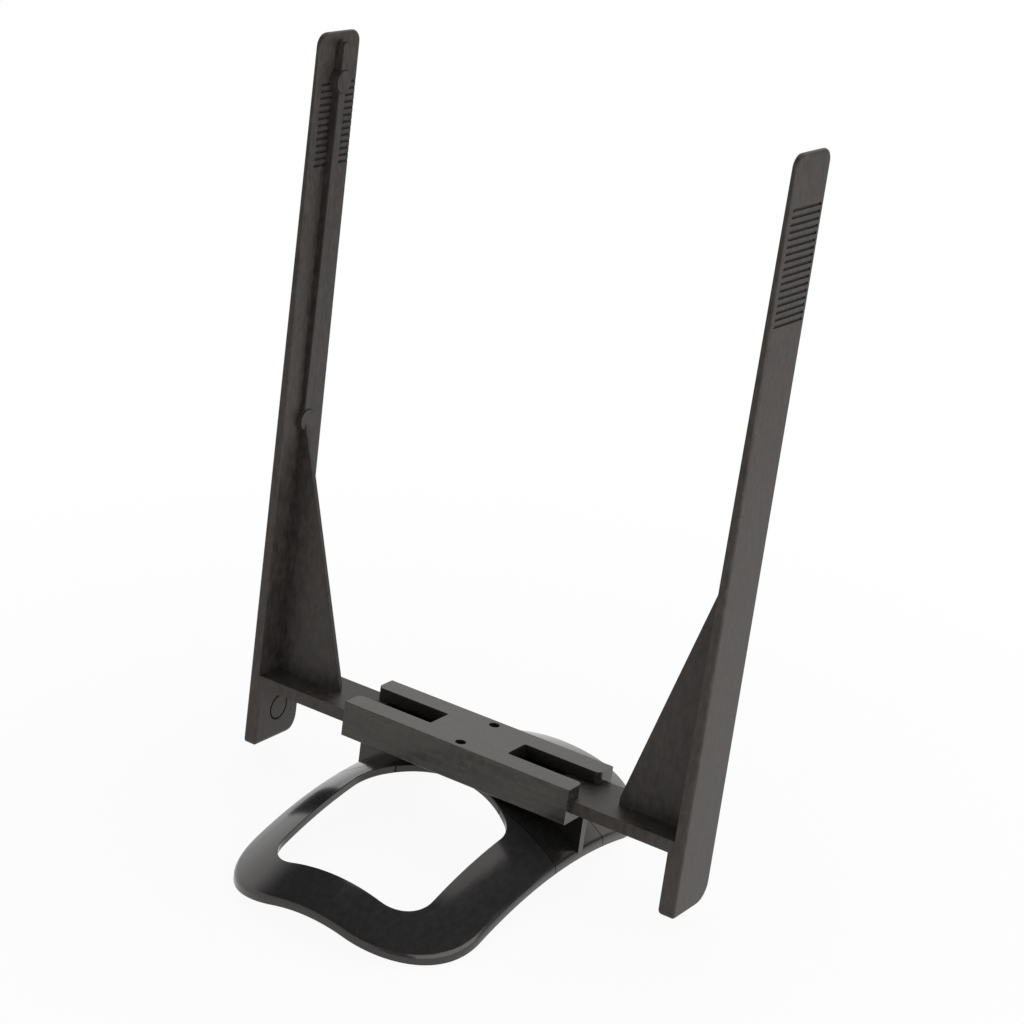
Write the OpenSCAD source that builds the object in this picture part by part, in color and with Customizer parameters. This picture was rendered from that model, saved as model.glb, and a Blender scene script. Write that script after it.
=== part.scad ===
// Adjustable-width display stand: an arched foot, a slotted rail on a web, and two posts on sliding arms.
// Origin: on the floor, under the middle of the whole stand. X runs along the rail, Y from front to back.
// The foot reaches further in front of the rail than behind it, so the stand leans back on its four corners.

/* [Foot] */
// Width of the foot and length of the rail
foot_w = 108.4; // [104:0.5:124]
// Reach of the foot in front of the middle of the rail
front_reach = 105.3; // [95:0.5:120]
// Reach of the foot behind the middle of the rail
rear_reach = 71; // [68:0.5:90]
// Radius of the foot's four corners in plan
foot_corner_r = 37.5; // [28:0.5:44]
// Wall of the foot
foot_t = 3.1; // [2.6:0.1:4]
// Radius of the foot's arch from side to side
arch_across_r = 90.1; // [84:0.5:120]
// Radius of the foot's arch from front to back
arch_along_r = 222.5; // [205:0.5:300]

/* [Foot openings] */
// Width of the foot's side legs
leg_w = 19; // [16:0.5:24]
// Width of the foot's front and rear bars
toe_w = 16.8; // [14:0.5:22]
// Corner radius of each opening at the far end
opening_corner_r = 14; // [8:0.5:18]
// Radius of each opening's shoulders at the near end
opening_shoulder_r = 13; // [9:0.5:15]
// Length over which an opening widens from the saddle to its full width
opening_flare = 19.5; // [17:0.5:24]
// Width of the saddle between the two openings
saddle_w = 23; // [19:0.5:28]

/* [Foot seams] */
// Distance from the rail's faces to the seams
seam_margin = 0.9; // [0.5:0.1:3]
// Open width of each seam
seam_gap = 0.4; // [0.3:0.05:0.6]
// Reach of a loop's tongue under the middle part
tongue_l = 9; // [7:0.5:12]
// Width of a loop's tongue
tongue_w = 13; // [9:0.5:15]
// Distance from the foot's side to a loop's tongue
tongue_inset = 7; // [5:0.5:9]
// Clearance over and beside a loop's tongue
tongue_gap = 0.2; // [0.15:0.05:0.3]

/* [Rail] */
// Wall in front of and behind the channel
rail_wall = 3.3; // [2.6:0.1:4]
// Plate over the channel
rail_top_t = 5.2; // [4:0.1:6]
// Plate under the channel
rail_floor_t = 3.9; // [3.2:0.1:5]
// Depth that the rail sinks into the crown of the foot
rail_sink = 1.5; // [1:0.1:2]
// Width of the slots that let the gussets in
slot_w = 12.8; // [10:0.2:15]
// Length of slot left beyond a gusset when its arm is pushed home
slot_spare_l = 5.4; // [2:0.2:7]
// Rounding of the slot mouths
slot_mouth_r = 2.5; // [1.5:0.25:3.5]
// Rounding of the slots' inner corners
slot_corner_r = 0.8; // [0.5:0.1:2]
// Rounding of the rail's long edges
rail_edge_r = 0.8; // [0.5:0.1:1.2]
// Diameter of the two accessory holes
accessory_hole_d = 4.4; // [3:0.1:5]
// Distance between the two accessory holes
accessory_hole_pitch = 24.2; // [22:0.2:25]
// Thickness of the web that carries the rail
web_t = 3.4; // [2.8:0.1:4.5]

/* [Arms] */
// Distance that each arm is pulled out of the rail, as displayed
pull_out = 44.4; // [30:0.2:47]
// Width of arms and posts, front to back
arm_w = 26; // [24:0.5:28]
// Thickness of an arm
arm_t = 5.3; // [4.5:0.1:6]
// Running clearance round an arm in the channel
slide_gap = 0.3; // [0.2:0.05:0.4]
// Length of an arm's full-width part, from the inner face of the heel
arm_full_l = 49.5; // [49:0.1:51]
// Gap between the arms' half-width tongues where they run past each other
arm_tongue_gap = 0.8; // [0.6:0.1:1.2]
// Gap left at a tongue's end, and between heel and rail, when both arms are pushed home
stop_gap = 0.3; // [0.2:0.05:0.5]

/* [Posts] */
// Height of a post from the bottom of its heel to its top
post_h = 300; // [250:1:340]
// Thickness of a post just above the arm
post_low_t = 4.7; // [4:0.1:5.5]
// Thickness of a post at its top
post_top_t = 2.3; // [2:0.1:3]
// Rounding of a post's two top corners
post_top_r = 5; // [3:0.5:8]
// Rounding of a post's outer long edges
post_edge_r = 1; // [0.5:0.1:1.4]
// Thickness of the heel below the arm
heel_t = 6.9; // [6:0.1:8]
// Height of the heel below the arm
heel_h = 26.6; // [22:0.2:30]
// Rounding of the heel's rear bottom corner
heel_rear_r = 8; // [4:0.5:12]
// Rounding of the heel's front bottom corner
heel_front_r = 1.5; // [1:0.1:3]
// Rounding of the heel's inner bottom edge
heel_inner_r = 2.5; // [1:0.1:4]

/* [Gussets and ribs] */
// Thickness of a gusset
gusset_t = 2.4; // [2:0.1:4]
// Reach of a gusset from the post's outer face
gusset_reach = 37; // [30:0.5:40]
// Height of a gusset's upright nose above the arm
gusset_nose_h = 3; // [2:0.1:5]
// Height of a gusset above the arm
gusset_h = 110; // [80:1:130]
// Width of the rib above the gusset
rib_w = 5; // [4:0.1:6]
// Distance from the post's outer face to the crest of the rib
rib_reach = 5.6; // [5:0.1:7]
// Plain height between the rib and the post's top
rib_top_margin = 3; // [2:0.5:6]
// Diameter of the round pads on the rib
pad_d = 10; // [8:0.5:12]
// Distance from the post's top to the upper pad
pad_from_top = 19; // [14:0.5:24]
// Diameter of the shallow ring on the heel's inner face
ring_d = 10.6; // [9:0.1:12]
// Width of that ring's groove
ring_w = 0.8; // [0.6:0.1:1]
// Depth of that ring's groove
ring_depth = 0.4; // [0.2:0.1:0.6]
// Distance from the arm's underside down to that ring's centre
ring_below_arm = 12; // [9:0.5:15]

/* [Grip grooves] */
// Distance from one groove to the next
groove_pitch = 2.675; // [2.2:0.025:3.2]
// Width of a groove
groove_w = 1.1; // [0.8:0.1:1.4]
// Depth of a groove
groove_depth = 0.5; // [0.3:0.05:0.6]
// Distance from the post's top to the first groove
groove_from_top = 20.2; // [16:0.2:26]
// Number of grooves on the outer face
outer_groove_count = 17; // [8:1:24]
// Number of grooves on each half of the inner face
inner_groove_count = 13; // [6:1:17]
// Plain border beside the grooves of the outer face
outer_groove_border = 2.2; // [1.5:0.1:4]
// Plain border in front of the grooves of the inner face, which run out at the rear edge
inner_groove_border = 3.2; // [2:0.1:4]

/* [Hidden] */
$fn = 96;
arch_fn = 240;
plastic = [0.16, 0.155, 0.15];
over = 1;

// Foot in plan
corner_x = foot_w / 2 - foot_corner_r;
opening_x = foot_w / 2 - leg_w;
opening_near_y = saddle_w / 2;
shoulder_x = opening_x - opening_shoulder_r;
shoulder_y = opening_near_y + opening_flare;
// The near arc meets both shoulders a hair inside their round, so that the curves cross cleanly
shoulder_lap = 0.02;
shoulder_touch_r = opening_shoulder_r - shoulder_lap;
near_arc_r = (pow(shoulder_x, 2) + pow(opening_flare, 2) - pow(shoulder_touch_r, 2))
    / (2 * (opening_flare - shoulder_touch_r));
near_arc_y = opening_near_y + near_arc_r;

// Foot in height, drawn with the rail level: the front corners stand at zero and the crown at crown_z.
// The long arch turns about an axis along X, at the height axis_z.
arch_ring_r = arch_along_r - arch_across_r;
function arch_r(x, depth) = arch_ring_r + sqrt(pow(arch_across_r - depth, 2) - x * x);
corner_turns = [0 : 0.5 : 90];
function corner_point_x(a) = corner_x + foot_corner_r * cos(a);
function corner_point_y(a, foot_reach) = foot_reach - foot_corner_r + foot_corner_r * sin(a);

// Height over the arch's axis of a corner's lowest point once the stand leans back, side -1 in front and 1 behind
function corner_low(foot_reach, side, lean) = min([for (a = corner_turns)
    let (r = arch_r(corner_point_x(a), foot_t))
    r * cos(asin(side * corner_point_y(a, foot_reach) / r) + lean)]);
crown_z = arch_along_r - corner_low(front_reach, -1, 0);
axis_z = crown_z - arch_along_r;

// The lean at which the front and the rear corners touch the floor together
max_lean = 20;
lean_steps = 24;
function find_lean(least, most, steps) =
    let (middle = (least + most) / 2)
    steps == 0 ? middle
    : corner_low(front_reach, -1, middle) < corner_low(rear_reach, 1, middle)
        ? find_lean(middle, most, steps - 1)
        : find_lean(least, middle, steps - 1);
lean = find_lean(0, max_lean, lean_steps);

// Joints between the loops and the middle part
channel_w = arm_w + 2 * slide_gap;
rail_w = channel_w + 2 * rail_wall;
seam_y = rail_w / 2 + seam_margin;
tongue_end_y = seam_y - tongue_l;
tongue_x = foot_w / 2 - tongue_inset - tongue_w / 2;
lap_depth = foot_t / 2;

// Rail
channel_h = arm_t + 2 * slide_gap;
rail_z = crown_z - rail_sink;
rail_h = rail_floor_t + channel_h + rail_top_t;
channel_z = rail_z + rail_floor_t;
slot_l = gusset_reach - heel_t + slot_spare_l;

// Arms, with heights counted from the bottom of the heel
heel_z = channel_z + slide_gap - heel_h;
arm_top_h = heel_h + arm_t;
arm_l = heel_t + arm_full_l;
reach = foot_w / 2 + pull_out + heel_t;
// A tongue fills the rail up to the other arm's shoulder when both arms are pushed home
arm_tongue_l = foot_w + stop_gap - 2 * arm_full_l;
gusset_top_h = arm_top_h + gusset_h;
first_groove_h = post_h - groove_from_top;
ring_h = heel_h - ring_below_arm;
function post_t(h) = post_low_t + (post_top_t - post_low_t) * (h - arm_top_h) / (post_h - arm_top_h);

// Ends of the leaning stand, front to back, counted from the arch's axis
front_end_y = min([for (a = corner_turns)
    let (y = corner_point_y(a, front_reach), r = arch_r(corner_point_x(a), foot_t))
    sqrt(r * r - y * y) * sin(lean) - y * cos(lean)]);
rear_end_y = rear_reach * cos(lean) + sqrt(pow(arch_along_r, 2) - pow(rear_reach, 2)) * sin(lean);
post_end_y = (arm_w / 2 - post_top_r) * cos(lean)
    + (heel_z + post_h - post_top_r - axis_z) * sin(lean) + post_top_r;
middle_y = (front_end_y + max(rear_end_y, post_end_y)) / 2;

// A corner to cut away, so that the corner at [0, 0] is rounded towards [sx, sy]
module corner_waste(r, sx, sy) {
    mirror([sx < 0 ? 1 : 0, 0])
        mirror([0, sy < 0 ? 1 : 0])
            difference() {
                translate([-over, -over]) square(r + over);
                translate([r, r]) circle(r);
            }
}

// Leans the stand back on its four corners, sets it on the floor and puts its middle over the origin
module stood() {
    translate([0, -middle_y, -corner_low(front_reach, -1, lean)])
        rotate([-lean, 0, 0])
            translate([0, 0, -axis_z]) children();
}

// The stretch of arched shell between two depths under the top face
module arch_layer(depth_from, depth_to) {
    translate([0, 0, axis_z])
        rotate([0, 90, 0])
            rotate_extrude($fn = arch_fn)
                intersection() {
                    translate([arch_ring_r, 0])
                        difference() {
                            circle(arch_across_r - depth_from, $fn = arch_fn);
                            circle(arch_across_r - depth_to, $fn = arch_fn);
                        }
                    translate([arch_ring_r, -foot_w / 2 - over])
                        square([arch_across_r + over, foot_w + 2 * over]);
                }
}

// Half of the foot, from just over the middle of the rail to its reach
module half_foot_outline(foot_reach) {
    corner_y = foot_reach - foot_corner_r;
    translate([-foot_w / 2, -over]) square([foot_w, corner_y + over]);
    translate([-corner_x, -over]) square([2 * corner_x, foot_reach + over]);
    for (sx = [-1, 1])
        translate([sx * corner_x, corner_y]) circle(foot_corner_r);
}

// The opening in half of the foot: straight sides, a bowed near edge, rounded shoulders and corners
module opening_outline(foot_reach) {
    opening_far_y = foot_reach - toe_w;
    far_y = opening_far_y - opening_corner_r;
    beyond_arc = 2;
    translate([-opening_x, shoulder_y])
        square([2 * opening_x, far_y - shoulder_y]);
    translate([-opening_x + opening_corner_r, shoulder_y])
        square([2 * (opening_x - opening_corner_r), opening_far_y - shoulder_y]);
    for (sx = [-1, 1]) {
        translate([sx * (opening_x - opening_corner_r), far_y]) circle(opening_corner_r);
        translate([sx * shoulder_x, shoulder_y]) circle(opening_shoulder_r);
    }
    intersection() {
        translate([0, near_arc_y]) circle(near_arc_r);
        polygon([
            [0, near_arc_y],
            [-shoulder_x * beyond_arc, near_arc_y - (near_arc_y - shoulder_y) * beyond_arc],
            [shoulder_x * beyond_arc, near_arc_y - (near_arc_y - shoulder_y) * beyond_arc]
        ]);
        translate([-opening_x, 0]) square([2 * opening_x, far_y]);
    }
}

module half_ring_outline(foot_reach) {
    difference() {
        half_foot_outline(foot_reach);
        opening_outline(foot_reach);
    }
}

module tongue_outline(gap, from_y) {
    for (sx = [-1, 1])
        translate([sx * tongue_x - tongue_w / 2 - gap, tongue_end_y])
            square([tongue_w + 2 * gap, from_y - tongue_end_y]);
}

// A foot loop, drawn behind the rail: its two tongues are the under half of the wall
module loop(foot_reach) {
    leg_end_y = seam_y + seam_gap;
    difference() {
        intersection() {
            arch_layer(0, foot_t);
            linear_extrude(height = 2 * crown_z) {
                intersection() {
                    half_ring_outline(foot_reach);
                    translate([-foot_w, leg_end_y]) square([2 * foot_w, foot_reach]);
                }
                tongue_outline(0, leg_end_y + over);
            }
        }
        intersection() {
            arch_layer(-over, lap_depth + tongue_gap);
            linear_extrude(height = 2 * crown_z)
                translate([-foot_w, 0]) square([2 * foot_w, leg_end_y]);
        }
    }
}

module rail() {
    difference() {
        rotate([90, 0, 90])
            linear_extrude(height = foot_w, center = true)
                difference() {
                    translate([-rail_w / 2, rail_z]) square([rail_w, rail_h]);
                    translate([-channel_w / 2, channel_z]) square([channel_w, channel_h]);
                    for (sy = [-1, 1]) {
                        translate([-sy * rail_w / 2, rail_z]) corner_waste(rail_edge_r, sy, 1);
                        translate([-sy * rail_w / 2, rail_z + rail_h]) corner_waste(rail_edge_r, sy, -1);
                    }
                }
        translate([0, 0, channel_z + channel_h / 2])
            linear_extrude(height = rail_h)
                for (sx = [-1, 1])
                    mirror([sx < 0 ? 1 : 0, 0])
                        slot_outline();
        for (sy = [-1, 1])
            translate([0, sy * accessory_hole_pitch / 2, channel_z + channel_h - over])
                cylinder(d = accessory_hole_d, h = rail_top_t + 2 * over);
    }
}

// A slot in the rail's top, open at the rail's end, with rounded inner corners and a flared mouth
module slot_outline() {
    end_x = foot_w / 2 - slot_l;
    difference() {
        translate([end_x, -slot_w / 2]) square([slot_l + over, slot_w]);
        for (sy = [-1, 1])
            translate([end_x, -sy * slot_w / 2]) corner_waste(slot_corner_r, 1, sy);
    }
    for (sy = [-1, 1])
        translate([foot_w / 2, sy * slot_w / 2])
            corner_waste(slot_mouth_r, -1, sy);
}

// The web stands on the foot's arch and carries the rail
module web() {
    difference() {
        translate([-foot_w / 2, -web_t / 2, 0])
            cube([foot_w, web_t, rail_z + rail_floor_t / 2]);
        arch_core();
    }
}

// Everything under the middle of the foot's wall
module arch_core() {
    translate([0, 0, axis_z])
        rotate([0, 90, 0])
            rotate_extrude($fn = arch_fn)
                intersection() {
                    translate([arch_ring_r, 0]) circle(arch_across_r - lap_depth, $fn = arch_fn);
                    translate([0, -foot_w / 2 - over])
                        square([arch_along_r + over, foot_w + 2 * over]);
                }
}

module centre_block() {
    color(plastic) stood() {
        difference() {
            intersection() {
                arch_layer(0, foot_t);
                linear_extrude(height = 2 * crown_z)
                    intersection() {
                        union() {
                            half_ring_outline(rear_reach);
                            mirror([0, 1]) half_ring_outline(front_reach);
                        }
                        square([2 * foot_w, 2 * seam_y], center = true);
                    }
            }
            intersection() {
                arch_layer(lap_depth, foot_t + over);
                linear_extrude(height = 2 * crown_z) {
                    tongue_outline(tongue_gap, seam_y + over);
                    mirror([0, 1]) tongue_outline(tongue_gap, seam_y + over);
                }
            }
        }
        web();
        rail();
    }
}

module rear_loop() {
    color(plastic) stood() loop(rear_reach);
}

module front_loop() {
    color(plastic) stood() mirror([0, 1, 0]) loop(front_reach);
}

// The post and heel seen from the front, outer face at x = 0
module post_profile() {
    difference() {
        polygon([
            [0, 0],
            [heel_t, 0],
            [heel_t, arm_top_h],
            [post_low_t, arm_top_h],
            [post_top_t, post_h],
            [0, post_h]
        ]);
        translate([heel_t, 0]) corner_waste(heel_inner_r, -1, 1);
        corner_waste(post_edge_r, 1, 1);
    }
}

// The post and heel seen from the side
module post_side_outline() {
    difference() {
        translate([-arm_w / 2, 0]) square([arm_w, post_h]);
        translate([-arm_w / 2, 0]) corner_waste(heel_front_r, 1, 1);
        translate([arm_w / 2, 0]) corner_waste(heel_rear_r, -1, 1);
        for (sy = [-1, 1])
            translate([-sy * arm_w / 2, post_h]) corner_waste(post_top_r, sy, -1);
    }
}

// The post seen from above, with its outer long edges rounded
module post_plan() {
    difference() {
        translate([0, -arm_w / 2]) square([heel_t + over, arm_w]);
        for (sy = [-1, 1])
            translate([0, -sy * arm_w / 2]) corner_waste(post_edge_r, 1, sy);
    }
}

module post() {
    intersection() {
        rotate([90, 0, 0])
            linear_extrude(height = arm_w + 2 * over, center = true) post_profile();
        rotate([90, 0, 90])
            linear_extrude(height = heel_t + over) post_side_outline();
        linear_extrude(height = post_h + over) post_plan();
    }
}

// The arm: full width up to its shoulder, then a tongue on one side only
module arm_bar(tongue_side) {
    translate([0, 0, heel_h])
        linear_extrude(height = arm_t) {
            translate([heel_t / 2, -arm_w / 2]) square([arm_l - heel_t / 2, arm_w]);
            mirror([0, tongue_side < 0 ? 1 : 0])
                translate([arm_l - over, arm_tongue_gap / 2])
                    square([arm_tongue_l + over, (arm_w - arm_tongue_gap) / 2]);
        }
}

module gusset() {
    rotate([90, 0, 0])
        linear_extrude(height = gusset_t, center = true)
            polygon([
                [post_top_t / 2, arm_top_h - over],
                [gusset_reach, arm_top_h - over],
                [gusset_reach, arm_top_h + gusset_nose_h],
                [rib_reach, gusset_top_h],
                [post_top_t / 2, gusset_top_h]
            ]);
}

module rib() {
    rib_end_h = post_h - rib_top_margin - rib_w / 2;
    translate([post_top_t / 2, -rib_w / 2, gusset_top_h])
        cube([rib_reach - post_top_t / 2, rib_w, rib_end_h - gusset_top_h]);
    for (round = [[gusset_top_h, pad_d], [post_h - pad_from_top, pad_d], [rib_end_h, rib_w]])
        translate([post_top_t / 2, 0, round[0]])
            rotate([0, 90, 0])
                cylinder(d = round[1], h = rib_reach - post_top_t / 2);
}

module outer_grooves() {
    groove_l = arm_w - 2 * outer_groove_border;
    for (i = [0 : outer_groove_count - 1])
        translate([-over, -groove_l / 2, first_groove_h - i * groove_pitch - groove_w / 2])
            cube([over + groove_depth, groove_l, groove_w]);
}

module inner_grooves() {
    for (i = [0 : inner_groove_count - 1]) {
        h = first_groove_h - i * groove_pitch;
        translate([post_t(h) - groove_depth, inner_groove_border - arm_w / 2, h - groove_w / 2])
            cube([over + groove_depth, arm_w - inner_groove_border + over, groove_w]);
    }
}

module heel_ring() {
    translate([heel_t - ring_depth, 0, ring_h])
        rotate([0, 90, 0])
            difference() {
                cylinder(d = ring_d + ring_w, h = ring_depth + over);
                translate([0, 0, -over]) cylinder(d = ring_d - ring_w, h = ring_depth + 3 * over);
            }
}

// A whole arm with its outer face at x = 0 and the rail towards +X
module arm(tongue_side) {
    difference() {
        post();
        outer_grooves();
        inner_grooves();
        heel_ring();
    }
    arm_bar(tongue_side);
    gusset();
    rib();
}

module left_arm() {
    color(plastic) stood() translate([-reach, 0, heel_z]) arm(-1);
}

module right_arm() {
    color(plastic) stood() translate([reach, 0, heel_z]) mirror([1, 0, 0]) arm(1);
}

centre_block();
front_loop();
rear_loop();
left_arm();
right_arm();
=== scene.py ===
"""Looks of an adjustable-width display stand: black moulded plastic, soft edges, grip grooves and a white studio."""

import math

import bmesh
import bpy
from mathutils import Matrix, Vector


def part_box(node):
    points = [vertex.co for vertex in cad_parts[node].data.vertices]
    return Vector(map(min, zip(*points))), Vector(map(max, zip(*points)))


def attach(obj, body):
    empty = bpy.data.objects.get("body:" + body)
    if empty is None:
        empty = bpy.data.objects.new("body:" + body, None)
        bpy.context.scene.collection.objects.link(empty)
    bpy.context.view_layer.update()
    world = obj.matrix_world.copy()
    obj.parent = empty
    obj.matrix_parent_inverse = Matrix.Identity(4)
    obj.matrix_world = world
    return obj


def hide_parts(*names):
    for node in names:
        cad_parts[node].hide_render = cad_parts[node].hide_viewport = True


bl_info = {
    "name": "Adjustable display stand",
    "version": (1, 0, 0),
    "blender": (4, 5, 0),
    "location": "View3D > Sidebar > Stand",
    "description": "Dresses the packed display stand and lights it in a white studio",
    "category": "Object",
}

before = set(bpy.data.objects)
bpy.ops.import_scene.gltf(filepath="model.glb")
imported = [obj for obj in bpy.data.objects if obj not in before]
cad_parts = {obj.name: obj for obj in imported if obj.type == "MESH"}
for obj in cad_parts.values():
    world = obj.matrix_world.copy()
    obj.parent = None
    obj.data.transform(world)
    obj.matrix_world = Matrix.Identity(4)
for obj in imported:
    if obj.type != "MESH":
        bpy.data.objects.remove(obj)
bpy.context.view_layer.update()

MM = 0.001
BLOCK_LOW, BLOCK_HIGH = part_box("centre_block")
ARM_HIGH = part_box("right_arm")[1]

# Lengths that the mesh operators work with
OVER = 1 * MM  # how far a cutting tool reaches past what it cuts
TOUCH = 1e-6  # points this close are taken as one
SLIVER = 4e-6  # faces thinner than this are dissolved
BURIED = 0.02 * MM  # how far a hidden face stays inside the one over it
CREASE = math.radians(35)  # edges that bend more than this are rounded
SHADED_CREASE = math.radians(40)  # edges that bend more than this keep a hard line in the shading

# Face marks, and how strongly a marked face is painted pale, as edge wear with a painted highlight, or painted black
# as painted shade
MARKS = ("worn", "recess")
WEAR_HIGHLIGHT_LENGTHWISE, WEAR_HIGHLIGHT_RIM, WEAR_HIGHLIGHT_ARM = 0.6, 0.7, 0.5
SHADE_SLOT, SHADE_CHANNEL, SHADE_GROOVE, SHADE_PAD_RIM, SHADE_GUSSET = 0.8, 0.5, 0.6, 0.7, 0.35

# The plastic's noises, in features per metre, and how its streaks are drawn out along an axis
CLOUD, MOTTLE, STREAKS, SPECKS, SCRATCHES, GRAIN = 34.0, 330.0, 560.0, 1300.0, 1500.0, 1700.0
EVEN, ALONG_RAIL, ALONG_FOOT, ALONG_POST = (1, 1, 1), (0.1, 1, 1), (1, 0.3, 1), (1, 1, 0.3)
SATIN_IOR, MATT_IOR = 1.53, 1.42

# The floor's white and grey, and the black that paints shade on marked faces
WHITE, PALE_GREY, PAINTED_SHADE_BLACK = (1.0, 1.0, 1.0, 1.0), (0.85, 0.85, 0.85, 1.0), (0.001, 0.001, 0.001, 1.0)

# The studio, in metres, watts, degrees and millimetres of focal length
SOFTBOXES = (
    {"name": "overhead softbox", "place": (-0.2, 0.9, 1.2), "target": (0.0, 0.0, 0.05), "size": 1.2, "power": 5.5},
    {"name": "right softbox", "place": (0.95, -0.05, 0.10), "target": (0.0, 0.0, 0.06), "size": 1.1, "power": 8.2},
)
FLOOR_HALF = 8.0
CAMERA_PLACE = (0.524083, -0.80724, 0.574127)
AZIMUTH, ELEVATION, ROLL = 31.985, 23.849, 4.857
FOCAL_LENGTH, SENSOR_WIDTH, FARTHEST = 97.451, 36.0, 20.0


# ---------------------------------------------------------------- settings


def length(name, description, default):
    return bpy.props.FloatProperty(name=name, description=description, default=default, unit="LENGTH", precision=5)


def colour(name, description, default):
    return bpy.props.FloatVectorProperty(name=name, description=description, default=default, subtype="COLOR", size=3)


def factor(name, description, default):
    return bpy.props.FloatProperty(name=name, description=description, default=default, min=0.0, subtype="FACTOR")


class FootSizes(bpy.types.PropertyGroup):
    """The arched foot, its openings and its seams"""

    width: length("Width", "Width of the foot and length of the rail", BLOCK_HIGH.x - BLOCK_LOW.x)
    front_reach: length("Front reach", "From the middle of the rail to the front", 105.3 * MM)
    rear_reach: length("Rear reach", "From the middle of the rail to the rear", 71 * MM)
    corner_r: length("Corner radius", "Corners of the foot in plan", 37.5 * MM)
    wall: length("Wall", "Thickness of the foot", 3.1 * MM)
    arch_across_r: length("Arch across", "Radius of the arch from side to side", 90.1 * MM)
    arch_along_r: length("Arch along", "Radius of the arch from front to back", 222.5 * MM)
    leg: length("Leg width", "Width of the side legs", 19 * MM)
    toe: length("Bar width", "Width of the front and rear bars", 16.8 * MM)
    opening_corner_r: length("Opening corner", "Far corners of an opening", 14 * MM)
    shoulder_r: length("Opening shoulder", "Near corners of an opening", 13 * MM)
    flare: length("Opening flare", "Length over which an opening widens", 19.5 * MM)
    saddle: length("Saddle width", "Foot left between the two openings", 23 * MM)
    seam_y: length("Seam place", "From the middle of the rail to a seam", 17.5 * MM)
    seam: length("Seam", "Open width of a seam", 0.4 * MM)
    tongue: length("Tongue width", "Width of a loop's tongue", 13 * MM)
    tongue_inset: length("Tongue inset", "From the foot's side to a tongue", 7 * MM)
    tongue_end: length("Tongue end", "From the middle to a tongue's end", 8.5 * MM)
    tongue_drop: length("Tongue drop", "Depth of a tongue's top under the foot's top", 1.75 * MM)
    tongue_lift: length("Tongue lift", "Height of a tongue's underside over the foot's", 0.05 * MM)
    edge_r: length("Edge rounding", "Rounding of the foot's outer edge", 1.3 * MM)
    rim_r: length("Rim rounding", "Rounding of the openings' edges", 0.6 * MM)
    under_r: length("Under rounding", "Rounding of all the edges underneath", 0.4 * MM)
    cell: length("Mesh cell", "Spacing of the surface mesh", 2.2 * MM)


class RailSizes(bpy.types.PropertyGroup):
    """The slotted rail and its web"""

    width: length("Width", "Width of the rail", 33.2 * MM)
    height: length("Height", "Height of the rail", 15 * MM)
    sink: length("Sink", "Depth of the rail in the foot's crown", 1.5 * MM)
    top_plate: length("Top plate", "Plate over the channel", 5.2 * MM)
    floor_plate: length("Floor plate", "Plate under the channel", 3.9 * MM)
    side_wall: length("Side wall", "Wall beside the channel", 3.3 * MM)
    slot_width: length("Slot width", "Width of the two slots", 12.8 * MM)
    slot_length: length("Slot length", "Length of the two slots", 35.5 * MM)
    slot_corner_r: length("Slot corners", "Rounding of the slots' inner corners", 0.8 * MM)
    slot_mouth_r: length("Slot mouths", "Rounding of the slots' mouths", 2.5 * MM)
    hole_d: length("Hole diameter", "The two accessory holes", 4.4 * MM)
    hole_pitch: length("Hole pitch", "Distance between the accessory holes", 24.2 * MM)
    web: length("Web", "Thickness of the web", 3.4 * MM)
    web_root: factor("Web root", "Depth of the web in the foot, as a share of its wall", 0.6)
    web_top: factor("Web top", "Depth of the web in the rail's floor, as a share of that plate", 0.3)
    web_inset: length("Web inset", "From the rail's end to the web's", 0.03 * MM)
    edge_r: length("Edge rounding", "Long edges of the rail", 0.5 * MM)
    rim_r: length("Rim rounding", "Slots, holes and rail ends", 0.3 * MM)


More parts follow.
